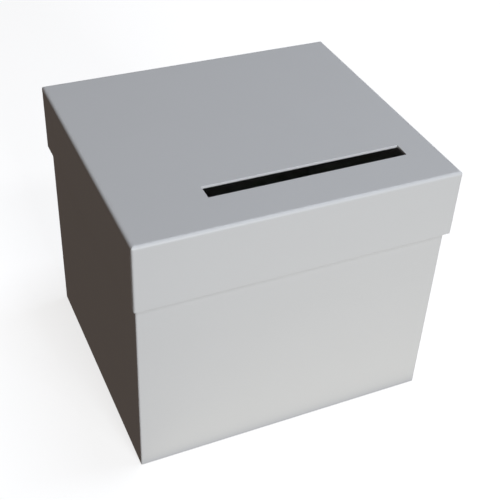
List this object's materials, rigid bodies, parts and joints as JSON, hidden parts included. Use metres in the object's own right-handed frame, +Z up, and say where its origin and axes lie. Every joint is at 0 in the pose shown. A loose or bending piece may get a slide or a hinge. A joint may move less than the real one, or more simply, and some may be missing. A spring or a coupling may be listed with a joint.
{
  "type": "wedding card box",
  "caption": "Paper-covered rigid card box: a deep base and a telescoping lift-off lid with a long slot for posting envelopes.",
  "frame": {"origin": "centre of the box's underside, on the surface it stands on", "axes": "+Z up, +X along the long side, to the right seen from the front, and +Y to the back; the slot lies nearer the front, -Y, and right of the middle, +X"},
  "size_m": [0.3, 0.268, 0.26],
  "materials": {
    "wrap_paper": "satin",
    "greyboard": "matte",
    "kraft_tape": "matte",
    "lining_paper": "matte"
  },
  "bodies": {
    "base": {"base_floor_board": "greyboard", "base_front_board": "greyboard", "base_back_board": "greyboard", "base_left_board": "greyboard", "base_right_board": "greyboard", "base_corner_stay_front_left": "kraft_tape", "base_corner_stay_front_right": "kraft_tape", "base_corner_stay_back_left": "kraft_tape", "base_corner_stay_back_right": "kraft_tape", "base_wrap": "wrap_paper", "base_underside_paper": "lining_paper", "base_wall_lining": "lining_paper", "base_floor_lining": "lining_paper"},
    "lid": {"lid_top_board": "greyboard", "lid_front_board": "greyboard", "lid_back_board": "greyboard", "lid_left_board": "greyboard", "lid_right_board": "greyboard", "lid_corner_stay_front_left": "kraft_tape", "lid_corner_stay_front_right": "kraft_tape", "lid_corner_stay_back_left": "kraft_tape", "lid_corner_stay_back_right": "kraft_tape", "lid_wrap": "wrap_paper", "lid_ceiling_lining": "lining_paper"}
  },
  "joints": [
    {"name": "lid_lift", "type": "slide", "parent": "base", "child": "lid", "axis": [0, 0, 1], "range_m": [0, 0.15]}
  ]
}
